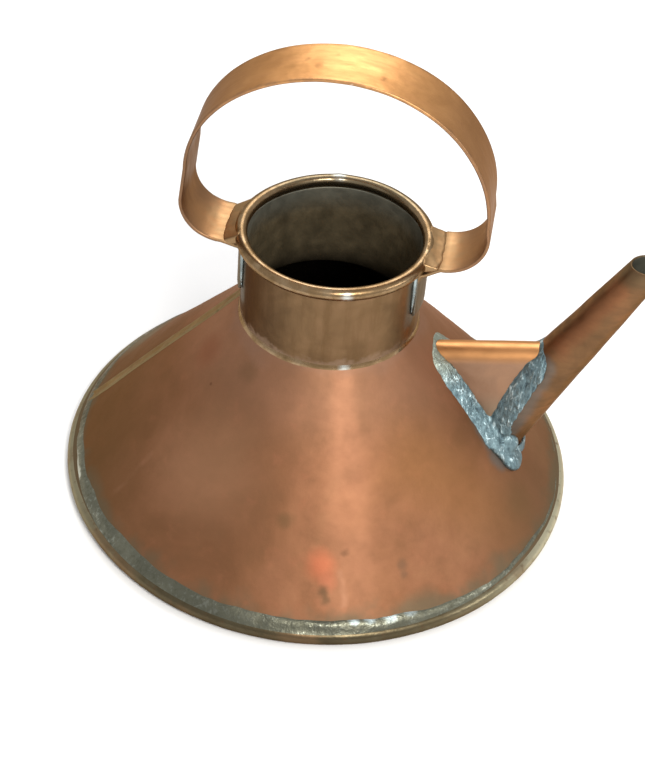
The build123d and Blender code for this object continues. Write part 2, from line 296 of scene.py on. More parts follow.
def neck_copper():
    f = Finish("brown_copper_neck", 0.92)
    wiped = f.mapped((1.0, 1.0, 0.18))
    streak = f.noise(5.0, 4.0, 0.6, stretch=wiped)
    cloud = f.noise(24.0, 4.0, 0.6, warp=0.5)
    colour = f.ramp(cloud, [(0.30, (0.125, 0.076, 0.038)), (0.52, (0.192, 0.116, 0.058)),
                            (0.74, (0.250, 0.150, 0.080))])
    colour = f.mix(f.ease(streak, 0.42, 0.72, 0.0, 0.5), colour, (0.155, 0.092, 0.042))
    # painted shade darkens the neck's left side
    colour = f.mix(f.ease(f.x, -0.008, -0.034, 0.0, 0.92), colour, (0.046, 0.022, 0.013))
    foot = f.math("ADD", f.z, f.ease(f.noise(4.0, 4.0), 0.3, 0.7, -0.0015, 0.0015))
    colour = f.mix(f.ease(foot, 0.0945, 0.0915, 0.0, 0.55), colour, (0.300, 0.205, 0.140))
    for x_side in (1, -1):
        for y_side in (1, -1):
            mask = f.stroke(f.wobbled(1.4, 4.0), (x_side * 36.3, y_side * 14.5, 128),
                            (x_side * 36.3, y_side * 14.5, 102), 1.8, 5.5)
            colour = f.mix(mask, colour, (0.170, 0.185, 0.165), 0.6)
    rough = f.ease(streak, 0.35, 0.65, 0.34, 0.48)
    f.relief([(f.noise(22.0, 2.0), 0.7), (streak, 0.04), (f.noise(0.9, 2.0), 0.012)])
    return f.done(colour, rough)


def inside_copper():
    f = Finish("oxidised_copper_inside_with_painted_shade", 0.75)
    cloud = f.noise(17.0, 5.0, 0.62, warp=0.5)
    colour = f.ramp(cloud, [(0.32, (0.150, 0.120, 0.070)), (0.52, (0.215, 0.170, 0.100)),
                            (0.72, (0.260, 0.205, 0.120))])
    # the wall is bluish under the rim, and painted shade blackens it lower down, towards the bottom
    colour = f.mix(f.ease(f.z, 0.113, 0.126, 0.0, 0.55), colour, (0.260, 0.285, 0.255))
    colour = f.mix(f.ease(f.z, 0.098, 0.084, 0.0, 0.96), colour, (0.012, 0.010, 0.008))
    f.relief([(f.noise(9.0, 3.0), 0.35), (f.noise(1.2, 3.0), 0.03)])
    return f.done(colour, f.ease(f.noise(6.0, 4.0), 0.3, 0.7, 0.42, 0.62))


def spout_copper():
    f = Finish("brown_copper_spout", 0.92)
    turn = math.radians(62.7)
    drawn = f.mapped((0.14, 1.0, 1.0), turn=(0.0, turn, 0.0))
    streak = f.noise(3.0, 4.0, 0.6, stretch=drawn)
    cloud = f.noise(17.0, 4.0, 0.6, warp=0.5)
    colour = f.ramp(cloud, [(0.30, (0.130, 0.070, 0.034)), (0.50, (0.185, 0.098, 0.046)),
                            (0.70, (0.235, 0.112, 0.052))])
    colour = f.mix(f.ease(streak, 0.42, 0.72, 0.0, 0.45), colour, (0.150, 0.090, 0.048))
    colour = f.mix(f.ease(f.z, 0.128, 0.137, 0.0, 0.6), colour, (0.120, 0.092, 0.052))
    bloom = f.stroke(f.wobbled(2.0, 8.0), (101, -7, 96), (119, -6, 128), 1.5, 6.5)
    colour = f.mix(bloom, colour, (0.300, 0.115, 0.052), 0.5)
    tarnish = f.stroke(f.wobbled(1.8, 5.0), V_VERTEX, ELBOW_END, 3.0, 7.5)
    colour = f.mix(tarnish, colour, (0.150, 0.165, 0.160), 0.45)
    rough = f.ease(streak, 0.35, 0.65, 0.34, 0.50)
    f.relief([(f.noise(18.0, 2.0), 0.5), (streak, 0.05), (f.noise(0.9, 2.0), 0.012)])
    return f.done(colour, rough)


def gusset_copper():
    f = Finish("folded_copper_gusset", 0.95)
    cloud = f.noise(15.0, 4.0, 0.6, warp=0.4)
    colour = f.ramp(cloud, [(0.30, (0.260, 0.150, 0.092)), (0.50, (0.310, 0.182, 0.115)),
                            (0.70, (0.370, 0.215, 0.132))])
    # the bent crown is painted brighter, as rubbed copper with a painted highlight; the cheeks are heat-dulled
    # towards the vertex
    crown = f.math("SUBTRACT", f.z, f.math("MULTIPLY", f.x, 0.185))
    colour = f.mix(f.ease(crown, 0.0645, 0.0690, 0.0, 0.90), colour, (0.560, 0.265, 0.100))
    colour = f.mix(f.ease(crown, 0.0530, 0.0400, 0.0, 0.7), colour, (0.250, 0.195, 0.135))
    rough = f.ease(cloud, 0.3, 0.7, 0.34, 0.44)
    f.relief([(f.noise(15.0, 2.0), 0.35), (f.noise(2.5, 3.0), 0.03), (f.noise(0.9, 2.0), 0.012)])
    return f.done(colour, rough)


def brass():
    f = Finish("tarnished_brass_bead", 0.92)
    around = f.mapped((0.5, 0.5, 1.0))
    cloud = f.noise(9.0, 5.0, 0.62, stretch=around)
    colour = f.ramp(cloud, [(0.30, (0.085, 0.062, 0.034)), (0.48, (0.125, 0.100, 0.056)),
                            (0.62, (0.165, 0.140, 0.084)), (0.78, (0.270, 0.240, 0.150))])
    # painted light: the bead is painted lighter at its left and right, with a painted pale highlight at the right,
    # and painted shade darkens it in front
    colour = f.mix(f.ease(f.math("ABSOLUTE", f.x), 0.070, 0.108, 0.0, 0.75), colour, (0.330, 0.300, 0.195))
    colour = f.mix(f.ease(f.x, 0.088, 0.112, 0.0, 0.70), colour, (0.600, 0.560, 0.400))
    colour = f.mix(f.ease(f.math("ABSOLUTE", f.x), 0.080, 0.040, 0.0, 0.65), colour, (0.060, 0.046, 0.026))
    colour = f.mix(f.ease(f.noise(3.0, 4.0), 0.55, 0.75, 0.0, 0.6), colour, (0.120, 0.070, 0.036))
    colour = f.mix(f.ease(f.noise(30.0, 3.0), 0.5, 0.65, 0.0, 0.5), colour, (0.190, 0.115, 0.060))
    rough = f.ease(cloud, 0.3, 0.7, 0.44, 0.30)
    f.relief([(f.noise(5.0, 3.0), 0.22), (f.noise(1.1, 3.0), 0.03)])
    return f.done(colour, rough)


def rim_finish():
    f = Finish("worn_copper_rim", 0.95)
    cloud = f.noise(7.0, 5.0, 0.62)
    colour = f.ramp(cloud, [(0.30, (0.170, 0.108, 0.050)), (0.50, (0.255, 0.165, 0.086)),
                            (0.72, (0.350, 0.250, 0.150))])
    colour = f.mix(f.ease(f.y, 0.010, 0.034, 0.0, 0.6), colour, (0.150, 0.135, 0.090))
    joint = f.spot(f.wobbled(1.2, 3.0), (-5.0, 39.8, 131.0), 1.5, 4.5)
    colour = f.mix(joint, colour, (0.430, 0.450, 0.420), 0.85)
    colour = f.mix(f.ease(f.noise(2.2, 4.0), 0.56, 0.74, 0.0, 0.40), colour, (0.130, 0.085, 0.040))
    # painted highlights in front, on the rim and on the neck's foot
    for centre in ((11.6, -40.4, 129.6), (13.0, -37.8, 90.0)):
        colour = f.mix(f.spot(f.wobbled(1.2, 3.0), centre, 0.6, 3.6), colour, (0.620, 0.640, 0.600), 0.85)
    f.relief([(f.noise(6.0, 3.0), 0.10), (f.noise(0.9, 3.0), 0.012)])
    return f.done(colour, f.ease(cloud, 0.3, 0.7, 0.34, 0.20))


def solder(name, grain_turn, cool):
    """Soft solder with drawn streaks; cool from 0, greenish grey, to 1, blue-grey."""
    f = Finish(name, 0.92)
    drawn = f.mapped((1.0, 1.0, 0.26), turn=grain_turn)
    streak = f.noise(1.7, 4.0, 0.65, stretch=drawn, warp=0.5)
    blotch = f.noise(7.5, 4.0, 0.6, warp=0.4)
    tone = f.math("ADD", f.math("MULTIPLY", streak, 0.68), f.math("MULTIPLY", blotch, 0.32))
    dark = tuple(blend(a, b, cool) for a, b in zip((0.085, 0.082, 0.055), (0.070, 0.108, 0.128)))
    mid = tuple(blend(a, b, cool) for a, b in zip((0.170, 0.168, 0.125), (0.168, 0.245, 0.268)))
    pale = tuple(blend(a, b, cool) for a, b in zip((0.400, 0.405, 0.330), (0.640, 0.800, 0.830)))
    colour = f.ramp(tone, [(0.36, dark), (0.47, mid), (0.54, mid), (0.64, pale)])
    return f, streak, blotch, colour


def joint_solder():
    f, streak, blotch, colour = solder("gusset_foot_solder_metal", (0.0, math.radians(-28), 0.0), 1.0)
    # warmer and paler where the run on the cone goes over the crown
    crown = f.math("MULTIPLY", f.ease(f.z, 0.066, 0.080, 0.0, 0.6),
                   f.ease(f.x, 0.080, 0.066, 0.0, 1.0))
    colour = f.mix(crown, colour, (0.330, 0.330, 0.230))
    f.relief([(streak, 0.60), (blotch, 0.8), (f.noise(0.8, 3.0), 0.02)])
    return f.done(colour, f.ease(streak, 0.35, 0.65, 0.50, 0.32))


def tab_solder():
    f = Finish("smooth_tab_solder", 0.95)
    cloud = f.noise(9.0, 3.0, 0.5)
    colour = f.ramp(cloud, [(0.34, (0.150, 0.175, 0.175)), (0.50, (0.260, 0.310, 0.315)),
                            (0.66, (0.420, 0.500, 0.510))])
    f.relief([(f.noise(6.0, 3.0), 0.25), (f.noise(1.0, 2.0), 0.012)])
    return f.done(colour, f.ease(cloud, 0.3, 0.7, 0.34, 0.20))


def band_solder():
    f, streak, blotch, colour = solder("base_band_solder", (0.0, 0.0, 0.0), 0.12)
    wide = f.noise(26.0, 4.0, 0.6, warp=0.5)
    colour = f.mix(0.55, colour, f.ramp(wide, [(0.32, (0.075, 0.075, 0.052)), (0.50, (0.135, 0.132, 0.092)),
                                               (0.66, (0.230, 0.225, 0.165))]))
    colour = f.mix(f.ease(f.y, -0.070, -0.105, 0.0, 0.40), colour, (0.080, 0.078, 0.056))
    # freshly tinned patches in front and a glint at the left
    tinned = f.wobbled(1.3, 2.6)
    for centre, size in (((33.6, -103.7, 11), 3.2), ((39.9, -100.9, 11), 3.6), ((47.9, -97.4, 11), 4.6),
                         ((55.6, -92.4, 11), 4.4)):
        colour = f.mix(f.spot(tinned, centre, 0.5, size), colour, (0.52, 0.62, 0.64), 0.8)
    glint = f.stroke(f.wobbled(1.0, 3.0), (-107, -32, 8.6), (-101, -46, 8.6), 0.6, 2.4)
    colour = f.mix(glint, colour, (0.66, 0.68, 0.58), 0.8)
    f.relief([(streak, 0.14), (blotch, 0.6), (f.noise(0.9, 3.0), 0.02)])
    return f.done(colour, f.ease(streak, 0.35, 0.65, 0.50, 0.30))


def seam_finish():
    f = Finish("soldered_lap_seam", 0.9)
    cloud = f.noise(11.0, 5.0, 0.6, warp=0.4)
    colour = f.ramp(cloud, [(0.32, (0.165, 0.105, 0.042)), (0.52, (0.225, 0.145, 0.062)),
                            (0.74, (0.300, 0.200, 0.092))])
    offset = f.math("ABSOLUTE", f.math("SUBTRACT", f.y, 0.0038))
    ragged = f.math("ADD", offset, f.ease(f.noise(5.0, 4.0), 0.3, 0.7, -0.0008, 0.0008))
    colour = f.mix(f.ease(ragged, 0.0012, 0.0036, 0.0, 0.75), colour, (0.255, 0.195, 0.100))
    colour = f.mix(f.ease(f.noise(4.0, 4.0), 0.56, 0.74, 0.0, 0.5), colour, (0.105, 0.075, 0.034))
    f.relief([(f.noise(7.0, 3.0), 0.4), (f.noise(1.2, 3.0), 0.03)])
    return f.done(colour, f.ease(cloud, 0.3, 0.7, 0.38, 0.52))


cone_mat, strap_mat, neck_mat = cone_copper(), strap_copper(), neck_copper()
inside_mat, spout_mat, gusset_mat = inside_copper(), spout_copper(), gusset_copper()
brass_mat, rim_mat, seam_mat = brass(), rim_finish(), seam_finish()
band_mat, joint_mat, tab_mat = band_solder(), joint_solder(), tab_solder()


# ---- mesh helpers ----
def grid(rows, columns, point, wrap_rows=False, wrap_columns=False):
    """Vertices and quads of a rows x columns sheet whose points come from point(row, column)."""
    verts = [point(i, j) for i in range(rows) for j in range(columns)]
    faces = []
    for i in range(rows if wrap_rows else rows - 1):
        for j in range(columns if wrap_columns else columns - 1):
            a, b = (i + 1) % rows, (j + 1) % columns
            faces.append((i * columns + j, a * columns + j, a * columns + b, i * columns + b))
    return verts, faces


def loft(rings, ring):
    """Faces of a closed run made of rings of vertices, capped at both ends."""
    faces = []
    for k in range(rings - 1):
        for j in range(ring):
            a, b = k * ring + j, k * ring + (j + 1) % ring
            faces.append((a, b, b + ring, a + ring))
    last = (rings - 1) * ring
    return faces + [tuple(range(ring)), tuple(range(last + ring - 1, last - 1, -1))]


def curved(start, middle, end, t):
    """Point of a quadratic curve."""
    return start * (1 - t) ** 2 + middle * 2 * t * (1 - t) + end * t * t


def flipped(faces):
    return [tuple(reversed(face)) for face in faces]


def link(name, data):
    obj = bpy.data.objects.new(name, data)
    scene.collection.objects.link(obj)
    return obj


def piece(name, verts, faces, *materials):
    mesh = bpy.data.meshes.new(name)
    mesh.from_pydata([tuple(v) for v in verts], [], faces)
    for material in materials:
        mesh.materials.append(material)
    return link(name, mesh)


def thicken(obj, thickness, offset, inner_slot=0, rim_slot=0, edge=0.25):
    """Give a sheet its thickness and small rounded edges; edge in mm."""
    solid = obj.modifiers.new("sheet", "SOLIDIFY")
    solid.thickness, solid.offset = thickness, offset
    solid.material_offset, solid.material_offset_rim = inner_slot, rim_slot
    bevel = obj.modifiers.new("edge", "BEVEL")
    bevel.width, bevel.segments = edge * MM, 3
    bevel.limit_method, bevel.angle_limit = "ANGLE", BEVEL_ABOVE


def bake_modifiers(obj):
    graph = bpy.context.evaluated_depsgraph_get()
    mesh = bpy.data.meshes.new_from_object(obj.evaluated_get(graph))
    obj.modifiers.clear()
    obj.data = mesh


def settle(obj, nodes):
    """Apply the piece's modifiers, smooth its shading, and hand it to the frame."""
    if obj.modifiers:
        bake_modifiers(obj)
    obj.data.shade_smooth()
    obj.data.set_sharp_from_angle(angle=SMOOTH_BELOW)
    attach(obj, "root")
    if nodes:
        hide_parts(*nodes)


def outward(obj):
    bm = bmesh.new()
    bm.from_mesh(obj.data)
    bmesh.ops.recalc_face_normals(bm, faces=bm.faces)
    bm.to_mesh(obj.data)
    bm.free()


def closed_piece(name, mesh, material, node):
    obj = piece(name, *mesh, material)
    outward(obj)
    settle(obj, [node])


def work_over(obj, voxel, lumps, spread=0.0, refine=0):
    """Melt a piece's overlapping volumes into one skin and push it about by noise, all in mm."""
    remesh = obj.modifiers.new("remesh", "REMESH")
    remesh.mode, remesh.voxel_size = "VOXEL", voxel * MM
    soften = obj.modifiers.new("soften", "SMOOTH")
    soften.factor, soften.iterations = 0.5, 3
    if refine:
        obj.modifiers.new("refine", "SUBSURF").levels = refine
    bake_modifiers(obj)
    pushed = []
    for vertex in obj.data.vertices:
        push = spread + sum(depth * lump(vertex.co, size, 4.0) for size, depth in lumps)
        pushed.extend(vertex.co + vertex.normal * push * MM)
    obj.data.vertices.foreach_set("co", pushed)
    obj.data.update()


# ---- conical body ----
def out_of_round(azimuth):
    """How far the neck is pushed in, in metres: it is flattened a little at the back of the seam side."""
    turn = (azimuth - math.radians(133) + math.pi) % (2 * math.pi) - math.pi
    return 1.0 * MM * bell(turn, 0.0, 0.55)


def cone_point(azimuth, z, lift=0.0):
    """Point of the dented cone; the dents fade out towards the bead and the neck."""
    base = polar(cone_r(z), azimuth, z)
    held = min(1.0, (z - 6 * MM) / (14 * MM), (91 * MM - z) / (12 * MM))
    dent = (0.55 * lump(base, 34.0, 1.0) + 0.16 * lump(base, 11.0, 2.0)) * max(held, 0.0)
    degrees = math.degrees(azimuth)
    crease = 0.35 * bell(degrees, -74.3, 0.9) * bell(z / MM, 20.0, 7.0)
    rise = (dent - 0.25 + crease) * MM * max(held, 0.0) + lift
    return base + polar(out_r, azimuth, out_z) * rise


CONE_TURNS, CONE_LEVELS, CONE_LOW = 288, 64, 5.6 * MM


def cone_vertex(i, j):
    azimuth = 2 * math.pi * i / CONE_TURNS - math.pi
    return cone_point(azimuth, blend(CONE_LOW, neck_z, j / (CONE_LEVELS - 1)))


def in_spout_hole(corners):
    centre = sum(corners, Vector()) / len(corners)
    return centre.x > 0 and abs(centre.y) < 8 * MM and 36 * MM < centre.z < 54 * MM


verts, faces = grid(CONE_TURNS, CONE_LEVELS, cone_vertex, wrap_rows=True)
faces = [face for face in faces if not in_spout_hole([verts[k] for k in face])]
cone = piece("cone_sheet", verts, faces, cone_mat, inside_mat)
thicken(cone, sheet, -1, inner_slot=1)
settle(cone, ["cone_body"])

STRIP_ROWS, STRIP_COLUMNS = 90, 13


def strip_vertex(i, j):
    """The lap: a low strip with a bead near each edge, sunk into the cone at its rim and ends."""
    x = blend(-110.5, -36.5, i / (STRIP_ROWS - 1)) * MM
    across = -1 + 2 * j / (STRIP_COLUMNS - 1)
    wander = 0.35 * lump(Vector((x, across * 0.002, 0)), 9.0, 5.0)
    y = (3.8 + across * (4.2 + wander)) * MM
    ridge = 0.30 * bell(abs(across), 0.72, 0.24) + 0.58 * (1 - across ** 4)
    radius, azimuth = math.hypot(x, y), math.atan2(y, x)
    z = neck_z - (radius - neck_r) / slope
    ends = min(1.0, i / 2, (STRIP_ROWS - 1 - i) / 2)
    lift = (-0.35 + ends * (ridge + 0.12 * lump(Vector((x, y, z)), 4.0, 6.0))) * MM
    return cone_point(azimuth, z, lift if abs(across) < 0.99 else -0.4 * MM)


verts, faces = grid(STRIP_ROWS, STRIP_COLUMNS, strip_vertex)
strip = piece("cone_lap_seam", verts, flipped(faces), seam_mat)
settle(strip, ["cone_seam_strip"])

# ---- base ----
BASE_TURNS, BEAD_RING, BAND_RING = 480, 24, 14


def bead_vertex(i, j):
    azimuth, turn = 2 * math.pi * i / BASE_TURNS, 2 * math.pi * j / BEAD_RING
    middle = polar(bead_ring, azimuth, bead_minor)
    radius = bead_minor * (0.965 + 0.03 * lump(middle, 12.0, 8.0) + 0.012 * lump(middle, 3.5, 9.0))
    return middle + polar(radius * math.cos(turn), azimuth, radius * math.sin(turn))


closed_piece("base_wired_edge", grid(BASE_TURNS, BEAD_RING, bead_vertex, wrap_rows=True, wrap_columns=True),
             brass_mat, "base_rim_bead")


def band_vertex(i, j):
    """Section of the solder band: its upper edge on the cone, its crest, its toe on the bead, and its back."""
    azimuth = 2 * math.pi * i / BASE_TURNS - math.pi
    here = polar(bead_ring, azimuth, 8 * MM)
    width = 4.3 + 2.2 * bell(math.cos(azimuth - math.radians(158)), 1.0, 0.75) + 1.5 * lump(here, 16.0, 11.0)
    width += 0.5 * lump(here, 5.0, 12.0) - 2.9 * bell(math.cos(azimuth), 1.0, 0.35)
    full = 0.50 + 0.30 * lump(here, 14.0, 13.0) - 0.2 * bell(math.cos(azimuth), 1.0, 0.35)
    t = j / (BAND_RING - 3)
    if j > BAND_RING - 3:
        back = (cone_r(9 * MM) - 2.6 * MM, 7.5 * MM) if j == BAND_RING - 1 else (bead_ring, 4.6 * MM)
        return polar(back[0], azimuth, back[1])
    top_z = (8.4 + width * 0.665) * MM
    toe = math.radians(52 + 36 * abs(math.cos(azimuth)) ** 1.5)
    edge = Vector((cone_r(top_z) - 0.2 * MM, 0, top_z - 0.1 * MM))
    foot = Vector((bead_ring + bead_minor * math.cos(toe) * 0.99, 0, bead_minor * (1 + math.sin(toe) * 0.99)))
    spine = edge.lerp(foot, t)
    swell = math.sin(math.pi * t ** 0.8) * (full + 0.12 * lump(here + Vector((0, 0, t * 6 * MM)), 4.0, 14.0)) * MM
    rib = 0.22 * math.sin(2 * math.pi * t) * lump(here, 18.0, 15.0) * MM
    spine += Vector((out_r, 0, out_z)) * (swell + rib)
    return polar(spine.x, azimuth, spine.z)


closed_piece("base_solder_band", grid(BASE_TURNS, BAND_RING, band_vertex, wrap_rows=True, wrap_columns=True),
             band_mat, "base_solder_ring")
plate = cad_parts["base_plate"]
for slot in plate.material_slots:
    slot.material = brass_mat

# ---- neck ----
NECK_TURNS, NECK_LEVELS = 192, 32
RIM_TURNS, RIM_RING = 240, 20
FOOT_TURNS, FOOT_RING = 288, 12


def neck_vertex(i, j):
    azimuth = 2 * math.pi * i / NECK_TURNS - math.pi
    z = blend(neck_low.z, neck_high.z, j / (NECK_LEVELS - 1))
    here = polar(neck_r, azimuth, z)
    return polar(neck_r - out_of_round(azimuth) * min(1, (z - neck_low.z) / (20 * MM))
                 - (0.12 - 0.12 * lump(here, 22.0, 16.0)) * MM, azimuth, z)


verts, faces = grid(NECK_TURNS, NECK_LEVELS, neck_vertex, wrap_rows=True)
neck = piece("neck_wall", verts, faces, neck_mat, inside_mat)
thicken(neck, sheet, -1, inner_slot=1, rim_slot=1)
settle(neck, ["neck_tube"])


def rim_vertex(i, j):
    azimuth, turn = 2 * math.pi * i / RIM_TURNS - math.pi, 2 * math.pi * j / RIM_RING
    middle = polar(rim_ring - out_of_round(azimuth), azimuth, rim_z)
    joint = 0.22 * bell(math.degrees(azimuth), 97.0, 3.5)
    uneven = 0.955 + 0.020 * lump(middle, 11.0, 17.0) + 0.006 * lump(middle, 4.0, 18.0)
    radius = rim_minor * uneven * (1 + joint * 0.4)
    # the wired edge is rolled over from outside, so its section leans inwards
    squash = 1.0 - 0.12 * max(0.0, -math.cos(turn))
    return middle + polar(radius * squash * math.cos(turn), azimuth, radius * 0.97 * math.sin(turn))


closed_piece("neck_wired_rim", grid(RIM_TURNS, RIM_RING, rim_vertex, wrap_rows=True, wrap_columns=True),
             rim_mat, "neck_rim_bead")


def foot_vertex(i, j):
    """Section of the fillet at the neck's foot: ten points over its face and two sunk behind it."""
    azimuth = 2 * math.pi * i / FOOT_TURNS - math.pi
    here = polar(neck_r, azimuth, neck_z)
    reach = 1.30 + 0.22 * lump(here, 11.0, 19.0) + 0.05 * lump(here, 4.0, 20.0)
    heel = Vector((neck_r - 0.25 * MM, 0, neck_z + reach * 1.15 * MM))
    toe_z = neck_z - reach * 0.85 * MM
    toe = Vector((cone_r(toe_z) - 0.2 * MM, 0, toe_z - 0.2 * MM))
    if j > FOOT_RING - 3:
        return polar(neck_r - 0.6 * MM, azimuth, neck_z - (1.4 if j == FOOT_RING - 2 else -0.4) * MM)
    t = j / (FOOT_RING - 3)
    spine = heel.lerp(toe, t) + Vector((0.75, 0, 0.66)) * (math.sin(math.pi * t) * 0.12 * reach * MM)
    return polar(spine.x, azimuth, spine.z)


closed_piece("neck_foot_fillet", grid(FOOT_TURNS, FOOT_RING, foot_vertex, wrap_rows=True, wrap_columns=True),
             rim_mat, "neck_foot_solder")

# ---- strap handle ----
strap_half, strap_thick = strap_high.y, 1.5 * MM
strap_top = strap_high.z - strap_thick / 2
tab_low, root_z, corner_x, corner_r = strap_low.z, 125.8 * MM, 63.6 * MM, 17.5 * MM
# at each end: height of the low run, height where the arch springs, half width of the arch there
strap_ends = {-1: (127.4 * MM, 160.8 * MM, 61.9 * MM), 1: (129.9 * MM, 153.2 * MM, 62.7 * MM)}


def strap_line(y):
    """Centre line of the strap at one distance from its middle, from tab to tab, as x and z."""
    root, bend = math.sqrt((neck_r + strap_thick / 2) ** 2 - y * y), 2.4 * MM
    line = []
    for side, (low, spring, half) in strap_ends.items():
        part = [(root, blend(tab_low, root_z - bend, k / 9)) for k in range(10)]
        part += [(root + bend * (1 - math.cos(a)), root_z - bend * (1 - math.sin(a)))
                 for a in (math.pi / 12 * k for k in range(1, 6))]
        part += [(blend(root + bend, corner_x - corner_r, k / 6), blend(root_z, low, k / 6)) for k in range(7)]
        part += [(corner_x - corner_r * (1 - math.sin(a)), low + corner_r * (1 - math.cos(a)))
                 for a in (math.pi / 28 * k for k in range(1, 15))]
        part += [(blend(corner_x, half, k / 7), blend(low + corner_r, spring, k / 7)) for k in range(1, 7)]
        part += [(half * math.cos(a), spring + (strap_top - spring) * math.sin(a))
                 for a in (math.pi / 72 * k for k in range(37))]
        part = [(side * x, z) for x, z in part]
        line += part if side < 0 else part[-2::-1]
    return line


STRAP_COLUMNS = 15
lines = [strap_line(strap_half * 0.985 * (-1 + 2 * j / (STRAP_COLUMNS - 1))) for j in range(STRAP_COLUMNS)]


def strap_vertex(i, j):
    x, z = lines[j][i]
    share = -1 + 2 * j / (STRAP_COLUMNS - 1)
    here = Vector((x, 0, z))
    waist = 0.30 * lump(here, 24.0, 21.0 + (share > 0)) + 0.12 * lump(here, 6.0, 23.0 + (share > 0))
    y = share * (strap_half - (0.42 - waist) * MM)
    if z > root_z + 4 * MM:
        z += (0.10 * lump(Vector((x, y, z)), 16.0, 25.0) - 0.10 - 0.18 * (1 - share * share)) * MM
    return Vector((x, y, z))


verts, faces = grid(len(lines[0]), STRAP_COLUMNS, strap_vertex)
strap = piece("handle_strap_sheet", verts, flipped(faces), strap_mat)
thicken(strap, strap_thick, 0, edge=0.5)
settle(strap, ["handle_strap"])


def end_fillet(side):
    """Solder washed over the root of the strap and the outer side of the rim."""
    verts, rows, ring = [], 27, 9
    low = strap_ends[side][0]
    for k in range(rows):
        share = -1 + 2 * k / (rows - 1)
        y = share * 13.3 * MM
        ragged = lump(Vector((side * 0.04, y, 0.13)), 5.0, 33.0)
        azimuth = math.asin(y / rim_ring) if side > 0 else math.pi - math.asin(y / rim_ring)
        ring_r, turn = rim_ring - out_of_round(azimuth), math.radians(96 - 40 * share ** 4)
        upper = polar(ring_r + rim_minor * math.cos(turn), azimuth, rim_z + rim_minor * math.sin(turn))
        lower = Vector((side * (46.3 + 0.6 * ragged - 1.5 * share ** 4) * MM, y, low + strap_thick / 2 - 0.1 * MM))
        hollow = upper.lerp(lower, 0.42) - Vector((0, 0, 0.5 * MM))
        verts.append(polar(ring_r, azimuth, rim_z))
        verts += [curved(upper, hollow, lower, t) for t in (0, 0.25, 0.5, 0.75, 1)]
        verts.append(lower - Vector((0, 0, 1.2 * MM)))
        verts.append(lower - Vector((side * 3 * MM, 0, 2.6 * MM)))
        verts.append(polar(ring_r + 1.5 * MM, azimuth, rim_z - 2.5 * MM))
    return verts, loft(rows, ring)


for side, end in ((1, "spout_end"), (-1, "seam_end")):
    fillet = piece(f"strap_root_wash_{end}", *end_fillet(side), strap_mat)
    outward(fillet)
    work_over(fillet, 0.6, ((6.0, 0.20), (2.5, 0.06)), refine=1)
    settle(fillet, [])

# ---- spout ----
rise = math.radians(62.7)
axis_dir = Vector((math.cos(rise), 0, math.sin(rise)))
axis_up = Vector((-axis_dir.z, 0, axis_dir.x))
elbow = Vector((92.0, 0, 88.25)) * MM
spout_r, taper = 10.9 * MM, 0.057
axis_start = elbow - axis_up * spout_r


def spout_point(run, turn, sink=0.0):
    """Point on the spout at a distance along its axis and a turn from its upper side."""
    reach = spout_r - taper * run - sink
    return axis_start + axis_dir * run + axis_up * (reach * math.cos(turn)) - Vector((0, reach * math.sin(turn), 0))


def into_cone(p):
    """Depth of a point inside the cone's outer face, measured level; negative outside."""
    return cone_r(p.z) - math.hypot(p.x, p.y)


def into_spout(p):
    run = (p - axis_start).dot(axis_dir)
    return spout_r - taper * run - (p - axis_start - axis_dir * run).length


def bisect(low, high, inside):
    for _ in range(36):
        mid = (low + high) / 2
        low, high = (mid, high) if inside(mid) else (low, mid)
    return low


SPOUT_TURNS, SPOUT_STEPS = 72, 70
spout_runs = []
for i in range(SPOUT_TURNS):
    turn = 2 * math.pi * i / SPOUT_TURNS
    root = bisect(-70 * MM, 10 * MM, lambda run: into_cone(spout_point(run, turn)) > 1.3 * MM)
    mouth = bisect(0.0, 75 * MM, lambda run: spout_point(run, turn).z < mouth_z)
    spout_runs.append((root, mouth))


def spout_vertex(i, j):
    turn = 2 * math.pi * i / SPOUT_TURNS
    root, mouth = spout_runs[i]
    run = blend(root, mouth, j / (SPOUT_STEPS - 1))
    here = spout_point(run, turn)
    # a low lap runs down the far side
    lap = 0.35 * max(0.0, 1 - abs((math.degrees(turn) - 262) / 16)) if math.degrees(turn) < 262 else 0.0
    dent = 0.16 + 0.16 * lump(here, 15.0, 27.0) - lap
    spot = spout_point(run, turn, dent * MM)
    return Vector((spot.x, spot.y, min(spot.z, mouth_z)))


verts, faces = grid(SPOUT_TURNS, SPOUT_STEPS, spout_vertex, wrap_rows=True)
spout = piece("spout_tapered_tube", verts, faces, spout_mat, inside_mat)
thicken(spout, sheet, -1, inner_slot=1, edge=0.3)
settle(spout, ["spout_tube"])

# ---- folded gusset ----
pitch, flare, crown_r = math.radians(10.5), math.radians(9.5), 6.6 * MM
crown_dir = Vector((math.cos(pitch), 0, math.sin(pitch)))
crown_up = Vector((-crown_dir.z, 0, crown_dir.x))


def fold_point(share):
    """Half of the fold's section from the crown down one cheek, as width and depth."""
    arc = crown_r * (math.pi / 2 - flare)
    length = share * (arc + 46 * MM)
    if length < arc:
        turn = length / crown_r
        return crown_r * math.sin(turn), crown_r * (1 - math.cos(turn))
    down = length - arc
    return (crown_r * math.cos(flare) + down * math.sin(flare),
            crown_r * (1 - math.sin(flare)) + down * math.cos(flare))


def fold_span(width, depth):
    """Both ends of one straight line of the gusset: just inside the cone and just inside the spout."""
    foot = elbow - crown_up * depth + Vector((0, width, 0))
    free = []
    for step in range(-24, 280):
        reach = step * 0.25 * MM
        here = foot - crown_dir * reach
        if (into_cone(here) < 0.8 * MM and into_spout(here) < 0.8 * MM
                and (here - axis_start).dot(axis_up) > 0):
            free.append(reach)
    return (foot - crown_dir * free[-1], foot - crown_dir * free[0]) if free else None


HALF_FOLD, FOLD_COLUMNS = 60, 30
fold_rows = []
for k in range(-HALF_FOLD, HALF_FOLD + 1):
    width, depth = fold_point(abs(k) / HALF_FOLD)
    side = 1 if k > 0 else -1
    span = fold_span(side * width, depth)
    if span:
        fold_rows.append((span, side, depth))


